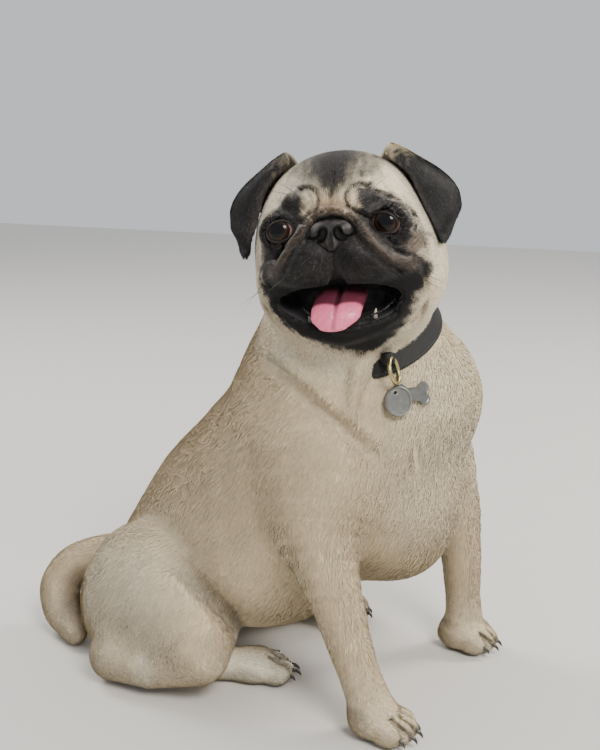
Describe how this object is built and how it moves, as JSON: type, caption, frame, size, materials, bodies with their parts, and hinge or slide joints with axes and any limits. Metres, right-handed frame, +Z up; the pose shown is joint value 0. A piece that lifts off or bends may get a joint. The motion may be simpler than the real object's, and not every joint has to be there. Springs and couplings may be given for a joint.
{
  "type": "dog figure",
  "caption": "Life-size still model of a small short-nosed dog with a curled tail, sitting upright with its head turned and mouth open, wearing a collar and tags.",
  "frame": {"origin": "middle of the bounding box on the floor", "axes": "+Z up, the chest faces -Y, the dog's left side is +X, and the tail is at +Y"},
  "size_m": [0.2206, 0.336, 0.3751],
  "materials": {
    "coat": "short dense fawn fur",
    "ear_coat": "short black velvety fur",
    "nose_skin": "moist pebbled skin",
    "tongue_skin": "wet soft skin",
    "eye": "wet glossy",
    "collar_strap": "matte woven strap",
    "ring_metal": "worn",
    "tag_metal": "satin, bare"
  },
  "bodies": {
    "root": {"head": "coat", "lower_jaw": "coat", "nose": "nose_skin", "tongue": "tongue_skin", "eye_right": "eye", "eye_left": "eye", "ear_right": "ear_coat", "ear_left": "ear_coat", "neck": "coat", "torso": "coat", "foreleg_right": "coat", "fore_paw_right": "coat", "foreleg_left": "coat", "fore_paw_left": "coat", "thigh_right": "coat", "hind_foot_right": "coat", "thigh_left": "coat", "hind_foot_left": "coat", "tail_base": "coat", "tail_curl": "coat", "collar": "collar_strap", "collar_ring": "ring_metal", "tag_round": "tag_metal", "tag_bone": "tag_metal"}
  },
  "joints": []
}
